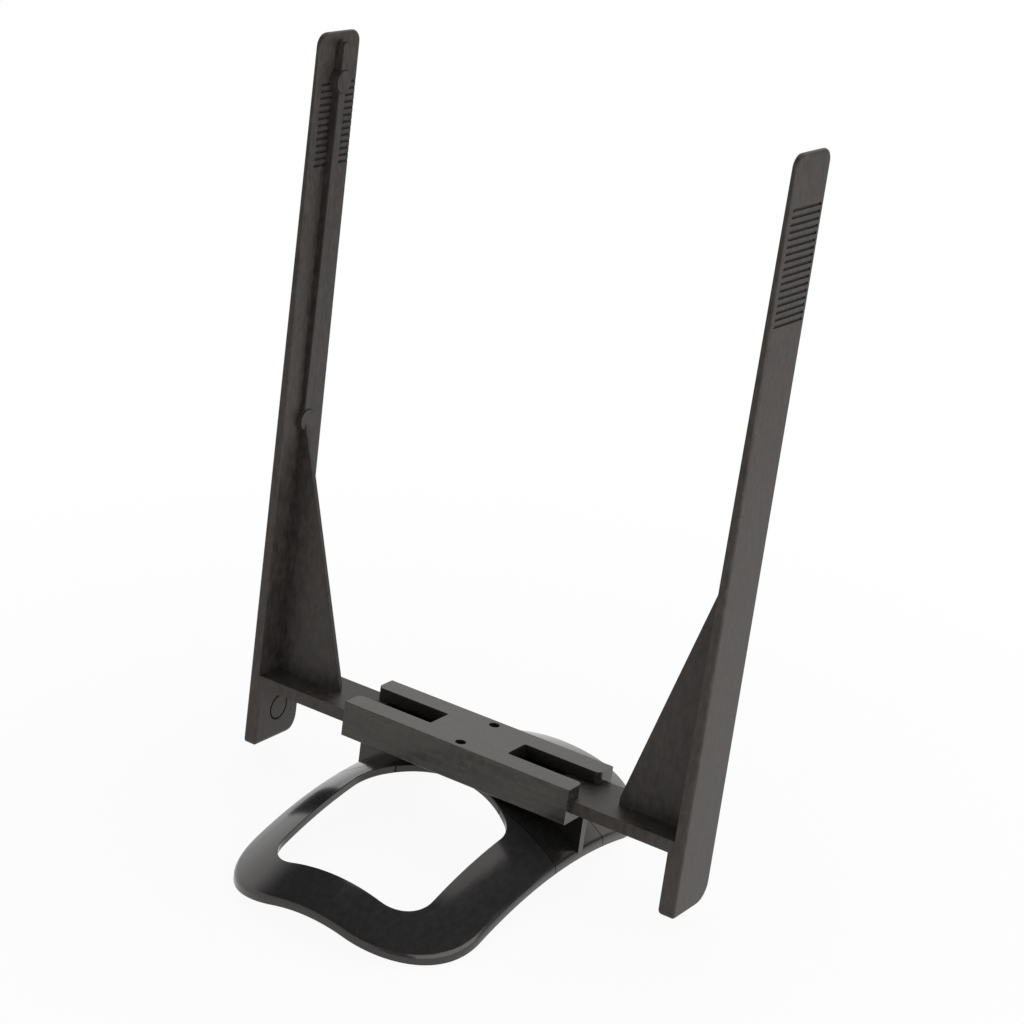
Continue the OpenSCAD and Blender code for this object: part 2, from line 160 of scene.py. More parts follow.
class ArmSizes(bpy.types.PropertyGroup):
    """The posts on their sliding arms"""

    width: length("Width", "Width of posts and arms", 26 * MM)
    height: length("Post height", "Height of a post with its heel", 300 * MM)
    reach: length("Reach", "From the middle to a post's outer face", ARM_HIGH.x)
    low_t: length("Thickness at the arm", "Post thickness just above the arm", 4.7 * MM)
    top_t: length("Thickness at the top", "Post thickness at its top", 2.3 * MM)
    top_r: length("Top corners", "Rounding of a post's top corners", 5 * MM)
    heel_t: length("Heel thickness", "Thickness of the heel", 6.9 * MM)
    heel_h: length("Heel height", "Height of the heel below the arm", 26.6 * MM)
    heel_rear_r: length("Heel rear corner", "Rounding of the heel's rear corner", 8 * MM)
    heel_front_r: length("Heel front corner", "Rounding of the heel's front corner", 1.5 * MM)
    heel_inner_r: length("Heel inner edge", "Rounding of the heel's inner bottom edge", 2.5 * MM)
    arm_t: length("Arm thickness", "Thickness of an arm", 5.3 * MM)
    arm_length: length("Arm length", "From the outer face to the arm's shoulder", 56.4 * MM)
    tongue_length: length("Tongue length", "From the arm's shoulder to its tongue's end", 9.7 * MM)
    tongue_gap: length("Tongue gap", "Between the two arms' tongues", 0.8 * MM)
    slide_gap: length("Slide gap", "Running clearance under an arm", 0.3 * MM)
    gusset_t: length("Gusset thickness", "Thickness of a gusset", 2.4 * MM)
    gusset_reach: length("Gusset reach", "From the outer face to the gusset's nose", 37 * MM)
    gusset_nose: length("Gusset nose", "Height of the gusset's nose", 3 * MM)
    gusset_h: length("Gusset height", "Height of a gusset above the arm", 110 * MM)
    rib_w: length("Rib width", "Width of the rib", 5 * MM)
    rib_reach: length("Rib reach", "From the outer face to the rib's crest", 5.6 * MM)
    rib_margin: length("Rib margin", "Plain height above the rib", 3 * MM)
    pad_d: length("Pad diameter", "Round pads on the rib", 10 * MM)
    pad_drop: length("Pad drop", "From the post's top to the upper pad", 19 * MM)
    ring_d: length("Ring diameter", "Shallow ring on the heel's inner face", 10.6 * MM)
    ring_w: length("Ring width", "Width of that ring's groove", 0.8 * MM)
    ring_depth: length("Ring depth", "Depth of that ring's groove", 0.4 * MM)
    ring_drop: length("Ring drop", "From the arm down to the ring's centre", 12 * MM)
    pad_lift: length("Pad lift", "Height of the pads over the rib", 0.45 * MM)
    edge_r: length("Edge rounding", "Outer edges of a post", 1.1 * MM)
    inner_r: length("Inner rounding", "Inner edges of a post", 1.1 * MM)
    small_r: length("Small rounding", "All other edges", 0.4 * MM)


class GrooveSizes(bpy.types.PropertyGroup):
    """The grip grooves near the posts' tops"""

    pitch: length("Pitch", "Distance from one groove to the next", 2.675 * MM)
    width: length("Width", "Width of a groove", 1.1 * MM)
    depth: length("Depth", "Depth of a groove", 0.5 * MM)
    drop: length("Drop", "From the post's top to the first groove", 20.2 * MM)
    outer_border: length("Outer border", "Plain border beside the grooves of an outer face", 2.2 * MM)
    inner_border: length("Inner border", "Plain border in front of the grooves of an inner face", 3.2 * MM)
    outer_count: bpy.props.IntProperty(name="Outer grooves", description="Grooves on an outer face", default=17)
    inner_count: bpy.props.IntProperty(name="Inner grooves", description="Grooves on an inner face", default=13)


class StandPose(bpy.types.PropertyGroup):
    """How the stand leans back on its four corners"""

    lean: bpy.props.FloatProperty(
        name="Lean", description="Turn of the level stand about the arch's axis", default=math.radians(5.12942),
        unit="ROTATION", precision=5,
    )
    drop: length("Drop", "Height of the floor over the arch's axis", 191.822 * MM)
    middle: length("Middle", "From the arch's axis back to the middle of the stand", 0.863 * MM)


class PlasticFinish(bpy.types.PropertyGroup):
    """The black plastic"""

    foot: colour("Foot", "Colour of the foot", (0.0225, 0.0218, 0.0232))
    # The saddle and web are the foot's plastic made darker: painted shade where the rail shades them
    saddle: colour("Saddle", "Colour of the saddle and the web under the rail", (0.0130, 0.0125, 0.0120))
    rail: colour("Rail", "Colour of the rail", (0.0240, 0.0215, 0.0188))
    arms: colour("Arms", "Colour of the posts and arms", (0.0370, 0.0322, 0.0296))
    # This pale colour is fine dust and scuffs, and also a painted highlight on marked edges
    pale_dust_and_highlight: colour("Dust", "Colour of fine dust and scuffs", (0.20, 0.185, 0.17))
    sheen: colour("Gloss tint", "Tint of the plastic's gloss", (1.0, 0.94, 0.885))
    foot_roughness: factor("Foot roughness", "Gloss of the foot", 0.155)
    saddle_roughness: factor("Saddle roughness", "Gloss of the saddle and the web", 0.15)
    rail_roughness: factor("Rail roughness", "Gloss of the rail", 0.25)
    arm_roughness: factor("Arm roughness", "Gloss of the arms", 0.46)
    foot_texture: factor("Foot texture", "Strength of the foot's mottling", 0.16)
    rail_texture: factor("Rail texture", "Strength of the rail's mottling", 0.55)
    arm_texture: factor("Arm texture", "Strength of the arms' mottling", 0.50)


GROUPS = {
    "stand_foot": FootSizes,
    "stand_rail": RailSizes,
    "stand_arm": ArmSizes,
    "stand_groove": GrooveSizes,
    "stand_pose": StandPose,
    "stand_plastic": PlasticFinish,
}


# ---------------------------------------------------------------- shader helpers


class Value:
    """A shader socket that takes part in sums: each operator adds one Math node."""

    def __init__(self, graph, socket):
        self.graph = graph
        self.socket = socket

    def _math(self, operation, *values):
        return self.graph.node("ShaderNodeMath", {"operation": operation}, dict(enumerate(values)))

    def __add__(self, other):
        return self._math("ADD", self, other)

    def __sub__(self, other):
        return self._math("SUBTRACT", self, other)

    def __rsub__(self, other):
        return self._math("SUBTRACT", other, self)

    def __mul__(self, other):
        return self._math("MULTIPLY", self, other)

    def maximum(self, other):
        return self._math("MAXIMUM", self, other)

    __radd__ = __add__
    __rmul__ = __mul__


class Graph:
    """The node tree of one material or world."""

    def __init__(self, owner):
        owner.use_nodes = True
        self.tree = owner.node_tree
        self.tree.nodes.clear()

    def node(self, kind, settings=None, inputs=None, output=0):
        """Adds a node, applies its settings, then sets or links its sockets, and returns one output."""
        made = self.tree.nodes.new(kind)
        for key, value in (settings or {}).items():
            if key == "stops":
                self._stops(made, value)
            else:
                setattr(made, key, value)
        for key, value in (inputs or {}).items():
            if isinstance(value, Value):
                self.tree.links.new(value.socket, made.inputs[key])
            else:
                made.inputs[key].default_value = value
        return Value(self, made.outputs[output]) if made.outputs else None

    @staticmethod
    def _stops(ramp_node, stops):
        elements = ramp_node.color_ramp.elements
        while len(elements) > len(stops):
            elements.remove(elements[-1])
        while len(elements) < len(stops):
            elements.new(1.0)
        for element, (position, level) in zip(elements, stops):
            element.position = position
            element.color = (level, level, level, 1.0)

    def noise(self, where, scale, detail=2.0, roughness=0.5):
        settings = {"noise_dimensions": "3D"}
        inputs = {"Vector": where, "Scale": scale, "Detail": detail, "Roughness": roughness}
        return self.node("ShaderNodeTexNoise", settings, inputs)

    def ramp(self, value, *stops):
        return self.node("ShaderNodeValToRGB", {"stops": stops}, {"Fac": value})

    def mix_colour(self, amount, first, second):
        settings = {"data_type": "RGBA"}
        return self.node("ShaderNodeMix", settings, {0: amount, 6: first, 7: second}, output=2)

    def bump(self, height, strength, distance, under=None):
        inputs = {"Height": height, "Strength": strength, "Distance": distance}
        return self.node("ShaderNodeBump", {}, inputs if under is None else {**inputs, "Normal": under})

    def mix_shader(self, amount, first, second):
        return self.node("ShaderNodeMixShader", {}, {0: amount, 1: first, 2: second})

    def seen_rays(self):
        """The rays that go straight to the eye or through glass, and those that end in a gloss."""
        path = self.tree.nodes.new("ShaderNodeLightPath")
        eye, through, glossy = (
            Value(self, path.outputs[name]) for name in ("Is Camera Ray", "Is Transmission Ray", "Is Glossy Ray")
        )
        return eye.maximum(through), glossy


def moulded_plastic(name, finish, base, roughness, drawn, texture, ior=SATIN_IOR):
    """Satin black plastic: mottled, drawn out along the part, with fine grain and dust, edges painted pale as wear
    with a painted highlight, and marked faces painted black as painted shade.
    """
    material = bpy.data.materials.new(name)
    graph = Graph(material)
    place = graph.node("ShaderNodeTexCoord", output=3)
    along = graph.node("ShaderNodeMapping", {}, {"Vector": place, "Scale": drawn})
    cloud = graph.noise(place, CLOUD, 4.0, 0.55)
    mottle = graph.noise(place, MOTTLE, 2.0, 0.6)
    streaks = graph.noise(along, STREAKS, 1.0, 0.5)
    grain = graph.noise(place, GRAIN, 2.0, 0.6)
    specks = graph.ramp(graph.noise(place, SPECKS, 1.0, 0.5), (0.79, 0.0), (0.83, 1.0))
    scratches = graph.ramp(graph.noise(along, SCRATCHES, 1.0, 0.4), (0.70, 0.0), (0.80, 1.0))
    patches = graph.ramp(cloud, (0.42, 0.0), (0.68, 1.0))
    film = graph.ramp(mottle * 0.5 + streaks * 0.5, (0.40, 0.0), (0.62, 1.0))
    # The first mark paints edge wear and a pale highlight, the second paints shade
    worn, recess = (graph.node("ShaderNodeAttribute", {"attribute_name": key}, output=2) for key in MARKS)

    def uneven(*weighted):
        """A sum of noises, each about its own middle."""
        return sum((noise - 0.5) * (weight * texture) for noise, weight in weighted)

    darker, paler = ((*[channel * share for channel in base], 1.0) for share in (0.55, 1.6))
    mottling = uneven((cloud, 0.9), (mottle, 1.3), (streaks, 1.6), (grain, 0.25))
    tint = graph.mix_colour(mottling + 0.45, darker, paler)
    marks = (specks * (0.10 * texture)).maximum(scratches * patches * (0.16 * texture))
    # Dust, scuffs, and on marked edges wear with a painted highlight, all mixed in pale
    dust_and_highlight = marks.maximum(film * (0.12 * texture)).maximum(worn * (mottle + 0.2) * 0.5)
    tint = graph.mix_colour(dust_and_highlight, tint, (*finish.pale_dust_and_highlight, 1.0))
    # Painted shade: marked faces turn black and rougher
    tint = graph.mix_colour(recess, tint, PAINTED_SHADE_BLACK)
    gloss = uneven((cloud, 0.16), (mottle, 0.25), (streaks, 0.25)) + dust_and_highlight * 0.2 + recess * 0.4 + roughness
    fine = graph.bump(mottle * 0.5 + streaks * 0.7, 0.05 + 0.07 * texture, 0.08 * MM)
    broad = graph.bump(cloud, 0.15 * texture, 0.6 * MM, fine)
    look = {
        "Base Color": tint, "Roughness": gloss, "Normal": broad,
        "Specular Tint": (*finish.sheen, 1.0), "IOR": ior,
    }
    shader = graph.node("ShaderNodeBsdfPrincipled", {}, look)
    graph.node("ShaderNodeOutputMaterial", {}, {"Surface": shader})
    return material


# ---------------------------------------------------------------- mesh helpers


def blank():
    """An empty mesh whose faces can be marked for edge wear with a painted highlight, and for painted shade."""
    bm = bmesh.new()
    for name in MARKS:
        bm.faces.layers.float.new(name)
    return bm


def mark(bm, name, faces, level=1.0):
    layer = bm.faces.layers.float[name]
    for face in faces:
        face[layer] = level


class Outline:
    """A flat outline on the XY plane, drawn from a first vertex: arcs are spun and straight runs join them."""

    def __init__(self, bm, x, y):
        self.bm = bm
        self.first = self.tip = bm.verts.new((x, y, 0.0))

    def line(self, x, y):
        """A straight run to a point."""
        reached = self.bm.verts.new((x, y, 0.0))
        self.bm.edges.new((self.tip, reached))
        self.tip = reached
        return self

    def arc(self, x, y, degrees, steps):
        """An arc about a centre, anticlockwise for positive degrees."""
        spun = bmesh.ops.spin(
            self.bm, geom=[self.tip], cent=(x, y, 0.0), axis=(0, 0, 1), dvec=(0, 0, 0),
            angle=math.radians(degrees), steps=steps, use_merge=False, use_duplicate=False,
        )
        self.tip = next(g for g in spun["geom_last"] if isinstance(g, bmesh.types.BMVert))
        return self

    def close(self):
        """A straight run back to the first vertex."""
        self.bm.edges.new((self.tip, self.first))
        return self

    def mirrored(self, axis):
        """Adds the mirror image across X or Y, where both ends of the outline lie."""
        bmesh.ops.mirror(self.bm, geom=self.bm.verts[:] + self.bm.edges[:], merge_dist=TOUCH, axis=axis)
        return self

    def fill(self):
        """One face inside the closed outline, facing up."""
        bmesh.ops.remove_doubles(self.bm, verts=self.bm.verts, dist=TOUCH)
        made = bmesh.ops.contextual_create(self.bm, geom=self.bm.edges[:])["faces"]
        for face in made:
            face.normal_update()
            if face.normal.z < 0:
                face.normal_flip()
        return made


def raise_faces(bm, low, high):
    """Extrudes the flat faces from one height to the other into a closed solid."""
    bmesh.ops.translate(bm, verts=bm.verts, vec=(0, 0, low))
    grown = bmesh.ops.extrude_face_region(bm, geom=bm.faces[:])["geom"]
    raised = [g for g in grown if isinstance(g, bmesh.types.BMVert)]
    bmesh.ops.translate(bm, verts=raised, vec=(0, 0, high - low))
    bmesh.ops.recalc_face_normals(bm, faces=bm.faces)
    return bm


def block(low, high):
    """A box between two corners."""
    bm = blank()
    bmesh.ops.create_cube(bm, size=1.0)
    low, high = Vector(low), Vector(high)
    bmesh.ops.scale(bm, vec=high - low, verts=bm.verts)
    bmesh.ops.translate(bm, verts=bm.verts, vec=(low + high) / 2)
    return bm


def sheet(x, y, width, depth):
    """A flat rectangular face about a point."""
    bm = blank()
    bmesh.ops.create_grid(bm, x_segments=1, y_segments=1, size=0.5)
    bmesh.ops.scale(bm, vec=(width, depth, 1), verts=bm.verts)
    bmesh.ops.translate(bm, verts=bm.verts, vec=(x, y, 0))
    return bm


def disc(x, y, radius, segments):
    """A flat round face."""
    bm = blank()
    bmesh.ops.create_circle(bm, cap_ends=True, radius=radius, segments=segments)
    bmesh.ops.translate(bm, verts=bm.verts, vec=(x, y, 0))
    return bm


def upright(bm):
    """Stands a shape drawn on XY up in the XZ plane: its height turns from Z to -Y."""
    bmesh.ops.rotate(bm, cent=(0, 0, 0), matrix=Matrix.Rotation(math.pi / 2, 3, "X"), verts=bm.verts)
    return bm


def sideways(bm):
    """Turns a shape drawn on XY so that X becomes Y, Y becomes Z and its height becomes X."""
    turn = Matrix(((0, 0, 1), (1, 0, 0), (0, 1, 0)))
    bmesh.ops.rotate(bm, cent=(0, 0, 0), matrix=turn, verts=bm.verts)
    return bm


def bevel(bm, edges, offset, segments=2):
    """Rounds edges and returns the rounding's faces."""
    return bmesh.ops.bevel(
        bm, geom=list(edges), offset=offset, offset_type="OFFSET", segments=segments, profile=0.5,
        affect="EDGES", clamp_overlap=True, material=-1,
    )["faces"]


def edges_where(bm, test):
    """Edges whose two ends both pass the test."""
    return [e for e in bm.edges if all(test(v.co) for v in e.verts)]


def near(value, target, slack=2 * TOUCH):
    return abs(value - target) < slack


def sharp(edge, angle=CREASE):
    """Whether two faces meet at an edge and bend more than an angle."""
    return len(edge.link_faces) == 2 and edge.calc_face_angle(0) > angle


def split_large(bm):
    """Cuts faces of more than four corners into triangles."""
    bmesh.ops.triangulate(bm, faces=[f for f in bm.faces if len(f.verts) > 4])


def add_mesh(bm, part):
    """Moves all of one bmesh into another."""
    mesh = bpy.data.meshes.new("part")
    part.to_mesh(mesh)
    part.free()
    bm.from_mesh(mesh)
    bpy.data.meshes.remove(mesh)


def cut_away(piece_bm, tool_bm):
    """One closed mesh less another, as a new bmesh."""
    made = []
    for bm in (piece_bm, tool_bm):
        mesh = bpy.data.meshes.new("cut")
        bm.to_mesh(mesh)
        bm.free()
        holder = bpy.data.objects.new("cut", mesh)
        bpy.context.scene.collection.objects.link(holder)
        made.append(holder)
    target, tool = made
    boolean = target.modifiers.new("cut", "BOOLEAN")
    boolean.operation = "DIFFERENCE"
    boolean.solver = "EXACT"
    boolean.object = tool
    graph = bpy.context.evaluated_depsgraph_get()
    result = blank()
    result.from_mesh(bpy.data.meshes.new_from_object(target.evaluated_get(graph)))
    for holder in made:
        bpy.data.objects.remove(holder)
    return result


def stood(bm, pose):
    """Leans the level stand back on its corners and sets it on the floor."""
    place = Matrix.Translation((0, -pose.middle, -pose.drop)) @ Matrix.Rotation(-pose.lean, 4, "X")
    bmesh.ops.transform(bm, matrix=place, verts=bm.verts)
    return bm


def finish_mesh(bm, name, *materials):
    """Turns a bmesh into an object that is shaded smooth, with its hard creases kept."""
    bmesh.ops.remove_doubles(bm, verts=bm.verts, dist=TOUCH / 10)
    bmesh.ops.dissolve_degenerate(bm, dist=SLIVER, edges=bm.edges)
    split_large(bm)
    mesh = bpy.data.meshes.new(name)
    bm.to_mesh(mesh)
    bm.free()
    for material in materials:
        mesh.materials.append(material)
    mesh.shade_smooth()
    mesh.set_sharp_from_angle(angle=SHADED_CREASE)
    piece = bpy.data.objects.new(name, mesh)
    bpy.context.scene.collection.objects.link(piece)
    flat = piece.modifiers.new("weighted normals", "WEIGHTED_NORMAL")
    flat.keep_sharp = True
    return piece


def dress(piece, node, body):
    """The piece stands for a CAD node, which it hides, and rides on its body."""
    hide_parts(node)
    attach(piece, body)


# ---------------------------------------------------------------- the arched foot


class Foot:
    """Plan outlines of the foot and the arching of a flat plate; heights count from the arch's axis."""

    def __init__(self, sizes, reach):
        self.s = sizes
        self.reach = reach
        self.half_w = sizes.width / 2
        self.opening_x = self.half_w - sizes.leg
        self.shoulder = (self.opening_x - sizes.shoulder_r, sizes.saddle / 2 + sizes.flare)
        r, flare = sizes.shoulder_r, sizes.flare
        self.bow_r = (self.shoulder[0] ** 2 + flare ** 2 - r ** 2) / (2 * (flare - r))
        self.bow_y = sizes.saddle / 2 + self.bow_r
        self.meet = math.degrees(math.atan2(self.bow_y - self.shoulder[1], self.shoulder[0]))

    def bow_angle(self, y):
        """Angle below the bow's centre at which the near edge of an opening lies at a distance from the middle."""
        return math.degrees(math.asin((self.bow_y - y) / self.bow_r))

    def bow_x(self, y):
        return math.sqrt(self.bow_r ** 2 - (self.bow_y - y) ** 2)

    def outside(self, edge):
        """Whether a rim runs along the foot's outer wall and not along an opening."""
        wall = min(edge.link_faces, key=lambda face: abs(face.normal.z))
        centre = wall.calc_center_median()
        hub = Vector((0, math.copysign((self.s.saddle / 2 + self.reach - self.s.toe) / 2, centre.y), 0))
        return wall.normal.dot(centre - hub) > 0

    def loop_face(self, from_y):
        """The loop's face: right leg, far corners, left leg and back along the opening."""
        bm = blank()
        s, half_w = self.s, self.half_w
        corner_x, corner_y = half_w - s.corner_r, self.reach - s.corner_r
        far_x, far_y = self.opening_x - s.opening_corner_r, self.reach - s.toe - s.opening_corner_r
        start = self.bow_angle(from_y)
        shape = Outline(bm, 0.0, self.reach)
        shape.line(corner_x, self.reach)
        shape.arc(corner_x, corner_y, -90, steps=40)
        shape.line(half_w, from_y).line(self.bow_x(from_y), from_y)
        shape.arc(0.0, self.bow_y, start - self.meet, steps=6)
        shape.arc(*self.shoulder, self.meet, steps=16)
        shape.line(self.opening_x, far_y)
        shape.arc(far_x, far_y, 90, steps=18)
        shape.line(0.0, self.reach - s.toe)
        shape.mirrored("X")
        shape.fill()
        return bm

    def saddle_face(self, seam_y):
        """The strip between the two seams, bowed in by both openings."""
        bm = blank()
        start = self.bow_angle(seam_y)
        shape = Outline(bm, self.half_w, 0.0)
        shape.line(self.half_w, seam_y).line(self.bow_x(seam_y), seam_y)
        shape.arc(0.0, self.bow_y, start - 90, steps=22)
        shape.mirrored("X")
        shape.mirrored("Y")
        shape.fill()
        return bm

    def plate(self, face_bm, depth_from, depth_to, seam_y=None):
        """Thickens a flat face, rounds its rims but for those along a seam, cuts it into cells and arches it."""
        flat = raise_faces(face_bm, -depth_to, -depth_from)
        if seam_y is not None:
            def on_seam(part):
                return all(near(abs(v.co.y), seam_y) for v in part.verts)

            rims = [e for e in flat.edges if near(e.verts[0].co.z, e.verts[1].co.z) and not on_seam(e)]
            under = [e for e in rims if near(e.verts[0].co.z, -depth_to)]
            over = [e for e in rims if near(e.verts[0].co.z, -depth_from)]
            outer = [e for e in over if self.outside(e)]
            inner = [e for e in over if not self.outside(e)]
            bevel(flat, outer, self.s.edge_r, segments=5)
            bevel(flat, inner, self.s.rim_r, segments=3)
            bevel(flat, under, self.s.under_r)
            # Paints shade on the seam's faces
            mark(flat, "recess", [f for f in flat.faces if on_seam(f)])
        split_large(flat)
        for axis in (0, 1):
            low = min(v.co[axis] for v in flat.verts)
            high = max(v.co[axis] for v in flat.verts)
            count = max(1, round((high - low) / self.s.cell))
            normal = Vector((axis == 0, axis == 1, 0))
            for i in range(1, count):
                at = normal * (low + (high - low) * i / count)
                everything = flat.verts[:] + flat.edges[:] + flat.faces[:]
                bmesh.ops.bisect_plane(flat, geom=everything, plane_co=at, plane_no=normal, dist=TOUCH)
        ring = self.s.arch_along_r - self.s.arch_across_r
        for vert in flat.verts:
            across = math.sqrt((self.s.arch_across_r + vert.co.z) ** 2 - vert.co.x ** 2)
            vert.co.z = math.sqrt((ring + across) ** 2 - vert.co.y ** 2)
        return flat


class StandLoops(bpy.types.Operator):
    """Builds the front and rear loops of the foot"""

    bl_idname = "stand.loops"
    bl_label = "Foot loops"

    def execute(self, context):
        scene = context.scene
        sizes, plastic = scene.stand_foot, scene.stand_plastic
        for side, name, reach in ((1, "rear_loop", sizes.rear_reach), (-1, "front_loop", sizes.front_reach)):
            foot = Foot(sizes, reach)
            leg_end = sizes.seam_y + sizes.seam
            bm = foot.plate(foot.loop_face(leg_end), 0.0, sizes.wall, leg_end)
            for sx in (-1, 1):
                middle = sx * (foot.half_w - sizes.tongue_inset - sizes.tongue / 2)
                root = leg_end + OVER
                tongue = sheet(middle, (sizes.tongue_end + root) / 2, sizes.tongue, root - sizes.tongue_end)
                tongue = foot.plate(tongue, sizes.tongue_drop, sizes.wall - sizes.tongue_lift)
                # Paints shade on the whole tongue, down in the seam
                mark(tongue, "recess", tongue.faces)
                add_mesh(bm, tongue)
            if side < 0:
                bmesh.ops.scale(bm, vec=(1, -1, 1), verts=bm.verts)
            bmesh.ops.recalc_face_normals(bm, faces=bm.faces)
            finish = moulded_plastic(
                f"{name} plastic", plastic, plastic.foot, plastic.foot_roughness, ALONG_FOOT, plastic.foot_texture
            )
            piece = finish_mesh(stood(bm, scene.stand_pose), f"{name}_moulding", finish)
            dress(piece, name, "stand")
        return {"FINISHED"}


# ---------------------------------------------------------------- the centre block


def slot_tool(rail, half_l, low, high):
    """The slot in the rail's top, open at the right end, with rounded inner corners and a flared mouth."""
    bm = blank()
    inner_x, half = half_l - rail.slot_length, rail.slot_width / 2
    corner_r, mouth_r = rail.slot_corner_r, rail.slot_mouth_r
    shape = Outline(bm, inner_x, 0.0)
    shape.line(inner_x, half - corner_r)
    shape.arc(inner_x + corner_r, half - corner_r, -90, steps=4)
    shape.line(half_l - mouth_r, half)
    shape.arc(half_l - mouth_r, half + mouth_r, 90, steps=8)
    shape.line(half_l + OVER, half + mouth_r).line(half_l + OVER, 0.0)
    shape.mirrored("Y")
    shape.fill()
    raise_faces(bm, low, high)
    # Paints shade on the slot's walls, but not on the mouth's flare
    mark(bm, "recess", [f for f in bm.faces if f.calc_center_median().x < half_l - mouth_r], SHADE_SLOT)
    return bm


def rail_mesh(rail, half_l, base_z):
    """The rail: a rounded bar with the channel, the slots and the accessory holes cut out."""
    half_w, top = rail.width / 2, base_z + rail.height
    bar = block((-half_l, -half_w, base_z), (half_l, half_w, top))
    lengthwise = [e for e in bar.edges if abs(e.verts[0].co.x - e.verts[1].co.x) > half_l]
    # Paints wear and a pale highlight on the rounded long edges
    mark(bar, "worn", bevel(bar, lengthwise, rail.edge_r, segments=4), WEAR_HIGHLIGHT_LENGTHWISE)
    channel_w, roof = half_w - rail.side_wall, top - rail.top_plate
    channel = block((-half_l - OVER, -channel_w, base_z + rail.floor_plate), (half_l + OVER, channel_w, roof))
    # Paints shade inside the channel
    mark(channel, "recess", channel.faces, SHADE_CHANNEL)
    bar = cut_away(bar, channel)
    openings, left = (slot_tool(rail, half_l, roof - OVER, top + OVER) for _ in range(2))
    bmesh.ops.rotate(left, cent=(0, 0, 0), matrix=Matrix.Rotation(math.pi, 3, "Z"), verts=left.verts)
    add_mesh(openings, left)
    for side in (-1, 1):
        hole = disc(0.0, side * rail.hole_pitch / 2, rail.hole_d / 2, segments=32)
        raise_faces(hole, roof - OVER, top + OVER)
        # Paints shade on the holes' walls
        mark(hole, "recess", hole.faces, SHADE_SLOT)
        add_mesh(openings, hole)
    bar = cut_away(bar, openings)
    bmesh.ops.dissolve_limit(bar, angle_limit=math.radians(1), verts=bar.verts, edges=bar.edges)
    rims = [e for e in bar.edges if sharp(e, math.radians(60)) and e.is_convex]
    # Paints wear and a pale highlight on the rims of slots, holes and ends
    mark(bar, "worn", bevel(bar, rims, rail.rim_r), WEAR_HIGHLIGHT_RIM)
    return bar


def web_mesh(rail, sizes):
    """The web on the arch: its lower edge is an arc inside the foot's wall, and its top lies inside the rail."""
    crown = sizes.arch_along_r
    radius = sizes.arch_across_r - sizes.wall * rail.web_root
    centre_z = crown - sizes.arch_across_r
    end_x = sizes.width / 2 - rail.web_inset
    low_z = centre_z + math.sqrt(radius ** 2 - end_x ** 2)
    top_z = crown + rail.floor_plate * rail.web_top
    web = blank()
    shape = Outline(web, end_x, low_z)
    shape.arc(0.0, centre_z, 2 * math.degrees(math.asin(end_x / radius)), steps=40)
    shape.line(-end_x, top_z).line(end_x, top_z)
    shape.close().fill()
    return upright(raise_faces(web, -rail.web / 2, rail.web / 2))


class StandBlock(bpy.types.Operator):
    """Builds the saddle, the web and the rail"""

    bl_idname = "stand.block"
    bl_label = "Centre block"

    def execute(self, context):
        scene = context.scene
        sizes, rail, plastic = scene.stand_foot, scene.stand_rail, scene.stand_plastic
        foot = Foot(sizes, sizes.front_reach)
        bm = rail_mesh(rail, foot.half_w, sizes.arch_along_r - rail.sink)
        saddle = foot.plate(foot.saddle_face(sizes.seam_y), 0.0, sizes.wall, sizes.seam_y)
        add_mesh(saddle, web_mesh(rail, sizes))
        for face in saddle.faces:
            face.material_index = 1
        add_mesh(bm, saddle)
        looks = (
            ("rail plastic", plastic.rail, plastic.rail_roughness, ALONG_RAIL, plastic.rail_texture),
            ("saddle plastic", plastic.saddle, plastic.saddle_roughness, EVEN, plastic.foot_texture),
        )
        finishes = [moulded_plastic(name, plastic, *look) for name, *look in looks]
        piece = finish_mesh(stood(bm, scene.stand_pose), "centre_block_moulding", *finishes)
        dress(piece, "centre_block", "stand")
        return {"FINISHED"}


# ---------------------------------------------------------------- the arms


def post_thickness(arm, height):
    """Post thickness at a height above the heel's bottom."""
    start = arm.heel_h + arm.arm_t
    share = (height - start) / (arm.height - start)
    return arm.low_t + (arm.top_t - arm.low_t) * share


